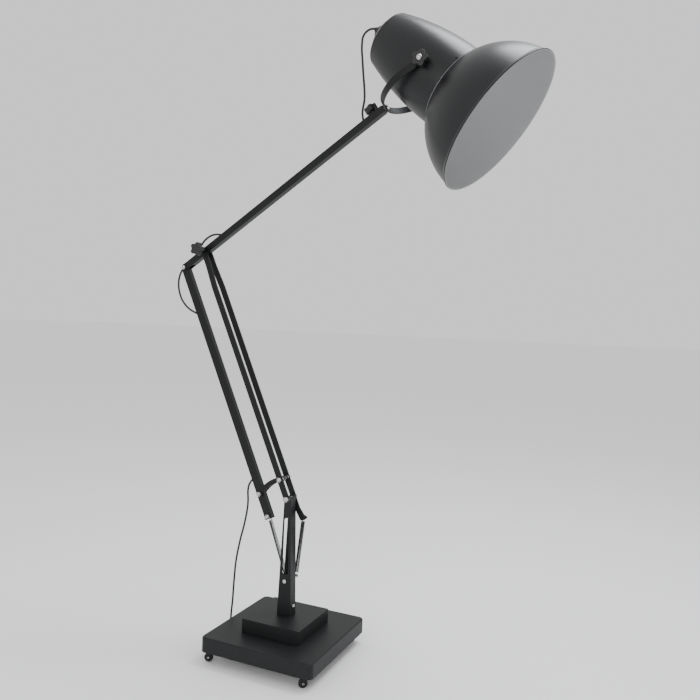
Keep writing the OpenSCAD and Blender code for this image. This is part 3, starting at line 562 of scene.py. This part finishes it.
def lathe(name, profile, place, sides=96, bands=None):  # profile of (radius, height) in millimetres
    verts, faces, kinds = [], [], []
    rings = []
    for radius, height in profile:
        if radius < 1e-6:
            rings.append([len(verts)])
            verts.append(place @ Vector((0, 0, height * mm)))
            continue
        rings.append(list(range(len(verts), len(verts) + sides)))
        for k in range(sides):
            angle = 2 * math.pi * k / sides
            verts.append(place @ Vector((radius * mm * math.cos(angle), radius * mm * math.sin(angle),
                                         height * mm)))
    for i, (low, high) in enumerate(zip(rings, rings[1:])):
        for k in range(sides):
            nextK = (k + 1) % sides
            if len(low) == 1:
                face = (low[0], high[nextK], high[k])
            elif len(high) == 1:
                face = (low[k], low[nextK], high[0])
            else:
                face = (low[k], low[nextK], high[nextK], high[k])
            faces.append(face)
            kinds.append(bands[i] if bands else 0)
    piece = newPiece(name, verts, faces)
    piece.data.polygons.foreach_set("material_index", kinds)
    shape = bmesh.new()
    shape.from_mesh(piece.data)
    bmesh.ops.recalc_face_normals(shape, faces=shape.faces)
    shape.to_mesh(piece.data)
    shape.free()
    return piece


def arc(centre, radius, start, end, count):  # points on a round stretch, angles in degrees
    return [(centre[0] + radius * math.cos(math.radians(start + (end - start) * i / count)),
             centre[1] + radius * math.sin(math.radians(start + (end - start) * i / count)))
            for i in range(count + 1)]


def settle(piece, body, slot, *nodes):
    if nodes:
        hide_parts(*nodes)
    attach(piece, body)


makeFloor()


# Frame, arm and base pieces carried over with soft edges

corners = ("front_left", "front_right", "rear_left", "rear_right")
carried = [  # finish, slot, and the edge's width in millimetres for each node
    ("basePaint", "base_paint", {"base_cover": 0.6, "plinth": 1.6, "mast": 0.5, "mast_foot": 0.6}),
    ("iron", "cast_ballast", {"ballast_plate": 1.5}),
    ("armPaint", "arm_paint", {"near_bar": 0.7, "far_bar": 0.7, "crank_straps": 0.6, "push_rod": 1.4,
                               "upper_arm": 1.3, "arm_end_plug": 0.5, "yoke": 0.8}),
    ("zinc", "zinc_fasteners", {"base_bolts": 0.4, "caster_stems": 0.4, "mast_fasteners": 0.3,
                                "shoulder_bolt": 0.4, "bar_spacers": 0.3, "crank_bolts": 0.4,
                                "elbow_bolt": 0.4, "crank_pin": 0.4, "rod_spring_pin": 0.4,
                                "tail_bolt": 0.4, "yoke_stud": 0.4, "pivot_studs": 0.4}),
    ("rubber", "black_rubber", {"pivot_bushes": 0.4}),
    ("plastic", "knob_plastic", {"elbow_knob": 1.6, "arm_knob": 1.6, "shade_knob_near": 1.6,
                                 "shade_knob_far": 1.6}),
    ("rubber", "black_rubber", {"rod_grommets": 0.7, "arm_grommets": 0.7}),
    ("shadePaint", "shade_paint", {"shade_rivets": 0.4}),
    ("armPaint", "caster_metal", {"fork_" + corner: 0.5 for corner in corners}),
]
for material, slotName, widths in carried:
    for node, width in widths.items():
        softEdged(node, width, material, 3 if "knob" in node else 2)
print("carried pieces:", sum(len(widths) for material, slotName, widths in carried))


# Shade

shadeLook = {"axisBelowLevel": 38.5, "pivotFromMouth": 224.0, "wall": 1.2, "sides": 160,
             "bellArc": (-16.6, -8.6, 207.7), "houseArc": (170.9, -631.7, 741.0), "neck": 154.0}
shadePlace = (frameAt(jointAt("shade_tilt"), inPlane(180 - shadeLook["axisBelowLevel"]))
              @ Matrix.Translation((0, 0, -shadeLook["pivotFromMouth"] * mm)))


def arcRadius(which, height, inset=0.0):
    centre, drop, radius = shadeLook[which]
    return drop + math.sqrt((radius - inset) ** 2 - (height - centre) ** 2)


def span(low, high, count):
    return [low + (high - low) * i / count for i in range(count + 1)]


# Radius and height above the neck for the collar
bellLook = {"rim": 2.0, "rimOut": 201.5, "rimFoot": (199.0, 6.5), "rimDark": 9, "steps": 60,
            "outsideEnd": 9, "insideStart": 5, "lap": 1.5,
            "collar": [(106.2, 0), (106.2, 12), (107.3, 12), (107.3, 1), (109.6, 0)]}


def makeBell():
    look = bellLook
    wall, neck = shadeLook["wall"], shadeLook["neck"]
    rim, steps = look["rim"], look["steps"]
    outside = [(arcRadius("bellArc", h), h)
               for h in span(neck - look["lap"], look["outsideEnd"], steps)]
    rolled = [look["rimFoot"]] + arc((look["rimOut"] - rim, rim + 0.2), rim, 60, -200, 14)
    inside = [(arcRadius("bellArc", h, wall), h) for h in span(look["insideStart"], neck, steps)]
    collar = [(r, neck + h) for r, h in look["collar"]]
    profile = outside + rolled + inside + collar + [outside[0]]
    dark = len(outside) + look["rimDark"]
    pale = len(rolled) + len(inside) - look["rimDark"] - 1
    bands = [0] * dark + [1] * pale + [0] * (len(profile) - 1 - dark - pale)
    bell = lathe("bellPiece", profile, shadePlace, shadeLook["sides"], bands)
    dress(bell, "shadePaint", "shadeInside")
    settle(bell, "shade", "shade_paint", "bell")


housingLook = {"end": 388.0, "edge": 8.0, "steps": 50, "cornerSteps": 10, "domeWall": 1.2, "lip": 0.3,
               "dome": [(64, 400.6), (56, 406.9), (48, 411.8), (40, 416.3), (33, 420), (27, 423.3),
                        (22, 426), (19.6, 427)]}


def makeHousing():
    look = housingLook
    wall, neck = shadeLook["wall"], shadeLook["neck"]
    end, edge, dome = look["end"], look["edge"], look["dome"]
    mouth = neck + 0.4
    centre = (arcRadius("houseArc", end) - edge, end)
    outside = [(arcRadius("houseArc", h), h) for h in span(neck + 1.1, end, look["steps"])]
    corner = arc(centre, edge, 8, 66, look["cornerSteps"])
    back = [(r, h - wall * look["domeWall"]) for r, h in reversed(dome)]
    innerCorner = arc(centre, edge - wall, 66, 8, look["cornerSteps"])
    inside = [(arcRadius("houseArc", h, wall), h) for h in span(end, mouth, look["steps"])]
    lip = [(arcRadius("houseArc", mouth) - look["lip"], mouth)]
    profile = outside + corner + dome + back + innerCorner + inside + lip + [outside[0]]
    first = len(outside) + len(corner) + len(dome) - 1
    bands = [0] * first + [1] * (len(profile) - first - 1)
    housing = lathe("housingPiece", profile, shadePlace, shadeLook["sides"], bands)
    dress(housing, "shadePaint", "shadeInside")
    settle(housing, "shade", "shade_paint", "rear_housing")


rearLook = {"capRadius": 19.3, "bore": 6.2, "capFoot": 422, "capTop": 435, "capEdge": 3, "capSides": 64,
            "ribs": 3, "ribFoot": 444, "ribPitch": 2, "ribRadius": 6.9, "ribTaper": 0.8,
            "glandSides": 48}


def makeRearEnd():
    look = rearLook
    radius, bore, low, high = look["capRadius"], look["bore"], look["capFoot"], look["capTop"]
    profile = [(bore, low), (radius, low), (radius, low + 4)]
    profile += arc((16.5, high - look["capEdge"]), look["capEdge"], 0, 90, 6)
    profile += [(bore, high), (bore, low)]
    cap = lathe("rearCapPiece", profile, shadePlace, look["capSides"])
    dress(cap, "plastic")
    settle(cap, "shade", "knob_plastic", "rear_cap")
    ribs = [(5.8, 432), (9, 432)] + arc((7.8, 442.6), 1.2, 0, 90, 4)
    for step in range(look["ribs"]):
        low = look["ribFoot"] + step * look["ribPitch"]
        size = look["ribRadius"] - step * look["ribTaper"]
        ribs += [(size, low), (size, low + 1.1), (size - 0.9, low + 1.2), (size - 0.9, low + 1.9)]
    ribs += [(3.05, 450), (3.05, 432), (5.8, 432)]
    gland = lathe("cableGlandPiece", ribs, shadePlace, look["glandSides"])
    dress(gland, "rubber")
    settle(gland, "shade", "black_rubber", "cable_gland")


lampLook = {"sides": 64, "grooves": (322, 330, 338, 346), "globeRadius": 30, "globeCentre": 256,
            "throat": [(21.4, 279), (19.6, 285), (18, 293), (17, 301), (16, 308), (14.5, 312)],
            "threads": 7, "threadFoot": 314, "threadPitch": 3.6, "threadOut": 13.2, "threadIn": 12.3}


def makeLamp():
    look = lampLook
    rings = []
    for low in look["grooves"]:
        rings += [(21, low), (21, low + 5), (20.1, low + 5.6), (20.1, low + 7.4)]
    profile = [(14, 348), (14, 318), (19.5, 318)] + arc((19.5, 319.5), 1.5, -90, 0, 4) + rings
    profile += [(21, 354), (21, 370)] + arc((18, 372), 3, 0, 90, 5)
    profile += [(9, 380), (6, 382), (6, 431), (4, 431), (4, 350), (14, 348)]
    holder = lathe("lampHolderPiece", profile, shadePlace, look["sides"])
    dress(holder, "plastic")
    settle(holder, "shade", "knob_plastic", "lamp_holder")
    globe = arc((0, look["globeCentre"]), look["globeRadius"], -90, 40, 24)
    globe = [(abs(r) if i else 0, h) for i, (r, h) in enumerate(globe)]  # its tip is on the axis
    thread = []
    for step in range(look["threads"]):
        low = look["threadFoot"] + step * look["threadPitch"]
        thread += [(look["threadOut"], low), (look["threadIn"], low + look["threadPitch"] / 2)]
    glass = globe + look["throat"]
    profile = glass + thread + [(11, 340), (5, 343), (0, 343)]
    bands = [0] * len(glass) + [1] * (len(profile) - len(glass) - 1)
    lampBulb = lathe("bulbPiece", profile, shadePlace, look["sides"], bands)
    dress(lampBulb, "opal", "zinc")
    settle(lampBulb, "shade", "bulb_glass", "bulb")


makeBell()
makeHousing()
makeRearEnd()
makeLamp()
print("shade made")


# Bright details on knobs

nutLook = {"radius": 9.5, "height": 9.0, "under": 0.5, "sideShare": 0.35, "domeFoot": 0.3,
           "domeShare": 0.86, "setBack": 4, "sides": 48}


def knobNuts():
    look = nutLook
    radius, height, under = look["radius"], look["height"], look["under"]
    dome = arc((0, height * look["domeFoot"]), radius * look["domeShare"], 6, 90, 8)
    dome[-1] = (0, dome[-1][1])  # its tip is on the axis
    profile = [(0, -under), (radius, -under), (radius, height * look["sideShare"])] + dome
    for name, node, side in (("nearKnobNut", "shade_knob_near", -1),
                             ("farKnobNut", "shade_knob_far", 1)):
        low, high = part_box(node)
        spot = jointAt("shade_tilt")
        spot.y = (high.y if side > 0 else low.y) - side * look["setBack"] * mm
        place = Matrix.Translation(spot) @ Matrix.Rotation(math.radians(-90 * side), 4, "X")
        nut = lathe(name, profile, place, look["sides"])
        dress(nut, "zinc")
        settle(nut, node, "zinc_fasteners")


knobNuts()


# Springs

springLook = {"meanRadius": 5.2, "wire": 1.05, "pitch": 2.9, "pointsPerTurn": 14, "wireSides": 8,
              "hook": 13.0, "pinRadius": 3.5, "hookRoom": 0.4, "hookFrom": -160, "hookSweep": 220,
              "hookSteps": 16, "rightLength": 179.0, "leftLength": 189.5, "endHeld": 14.0}


def springLine(foot, head):  # a close coil with a round hook at each end
    look = springLook
    along = (head - foot).normalized()
    across = Vector((0, 1, 0))
    out = along.cross(across)
    hookRadius = look["pinRadius"] + look["wire"] + look["hookRoom"]

    def hookAt(centre, direction):
        hook = []
        for i in range(look["hookSteps"] + 1):
            angle = math.radians(look["hookFrom"] + look["hookSweep"] * i / look["hookSteps"])
            hook.append(centre + mm * hookRadius
                        * (math.cos(angle) * out + math.sin(angle) * direction))
        return hook

    start, end = look["hook"], (head - foot).length / mm - look["hook"]
    turns = (end - start) / look["pitch"]
    coil = []
    for i in range(int(turns * look["pointsPerTurn"]) + 1):
        turn = i / look["pointsPerTurn"]
        angle = 2 * math.pi * turn
        centre = foot + along * (start + turn * look["pitch"]) * mm
        coil.append(centre + mm * look["meanRadius"]
                    * (math.cos(angle) * out + math.sin(angle) * across))
    return hookAt(foot, -along) + coil + list(reversed(hookAt(head, along)))


def springCoil(name, line, first, second, start, end, nodes):
    coil = tubeMesh(name, line, springLook["wire"] * mm, springLook["wireSides"])
    dress(coil, "springWire")
    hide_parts(*nodes)
    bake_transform(coil, first, second, start=tuple(start), end=tuple(end))


def springPieces():
    look = springLook
    held = look["endHeld"] * mm
    foot = jointAt("right_spring_swing")
    along = Vector(joints["right_spring_stretch"]["axis"])
    head = foot + along * look["rightLength"] * mm
    springCoil("rightSpring", springLine(foot, head), "spring_right_foot", "spring_right_head",
               foot + along * held, head - along * held, ("spring_right_lower", "spring_right_upper"))

    foot = jointAt("left_spring_swing")
    along = Vector(joints["left_spring_stretch"]["axis"])
    head = foot + along * look["leftLength"] * mm
    half = foot + along * look["leftLength"] * mm / 2
    line = springLine(foot, head)
    split = min(range(len(line)), key=lambda i: (line[i] - half).length)
    springCoil("leftSpringFoot", line[:split + 1], "spring_left_b", "spring_left_c",
               foot + along * held, half, ("spring_left_lower", "spring_left_eye"))
    springCoil("leftSpringHead", line[split:], "spring_left_c", "spring_left_d",
               half, head - along * held, ("spring_left_upper", "spring_left_hook"))


springPieces()
print("springs made")


# Castor wheels

# The face and the nut are radius with depth below the side, and radius with height
wheelLook = {"radius": 12.5, "halfWidth": 5.0, "crown": 2.2, "crownSteps": 6, "sides": 48,
             "face": [(2.1, 0.6), (4.2, 0.6), (4.8, 1.4), (8.2, 1.4), (9, 0.2)],
             "nut": [(0, 7.2), (2.9, 7.2), (2.9, 8.3), (2.2, 8.75), (0, 8.75)], "nutSides": 24}


def makeWheel(corner):
    look = wheelLook
    roll = joints[corner + "_roll"]
    turn = Vector(roll["axis"]).to_track_quat("Z", "Y").to_matrix().to_4x4()
    place = Matrix.Translation(Vector(roll["pos_m"])) @ turn
    half, radius, crown = look["halfWidth"], look["radius"], look["crown"]
    lowFace = [(r, -half + depth) for r, depth in look["face"]]
    highFace = [(r, half - depth) for r, depth in reversed(look["face"])]
    tyre = (lowFace + arc((radius - crown, -half + crown), crown, -90, 0, look["crownSteps"])
            + arc((radius - crown, half - crown), crown, 0, 90, look["crownSteps"])
            + highFace + [lowFace[0]])
    title = corner.title().replace("_", "")
    wheel = lathe("wheel" + title + "Piece", tyre, place, look["sides"])
    dress(wheel, "tyre")
    settle(wheel, "wheel_" + corner, "wheel_rubber", "wheel_" + corner)
    for ending, tip in (("In", math.pi), ("Out", 0)):
        outward = place @ Matrix.Rotation(tip, 4, "X")
        nut = lathe("axleNut" + title + ending, look["nut"], outward, look["nutSides"])
        dress(nut, "zinc")
        settle(nut, "caster_" + corner, "zinc_fasteners")


for corner in corners:
    makeWheel(corner)
print("castors made")


# Plug

plugLook = {"bodyEdge": 2.2, "bodyCrease": 40, "pinEdge": 0.5, "tieIn": 33, "tieWide": 9.6,
            "tieHigh": 5.2, "tieLevel": 6.2, "tieSteps": 32, "tieWire": 0.9, "tieSides": 8}


def makePlug():
    look = plugLook
    body = softEdged("plug_body", look["bodyEdge"], "rubber", 4, look["bodyCrease"])
    body.name = "plugPiece"
    pins = softEdged("plug_pins", look["pinEdge"], "pins", 3)
    declareCord(runLine)
    centre = Vector((*coilLook["centre"], 0)) * mm
    loop = []
    for k in range(look["tieSteps"] + 1):
        angle = 2 * math.pi * k / look["tieSteps"]
        loop.append(centre + mm * Vector((-look["tieIn"] - look["tieWide"] * math.cos(angle), 0,
                                          look["tieLevel"] + look["tieHigh"] * math.sin(angle))))
    band = tubeMesh("coilTie", loop, look["tieWire"] * mm, look["tieSides"])
    dress(band, "rubber")
    settle(band, "base", "cord_rubber")


makePlug()
print("plug made")
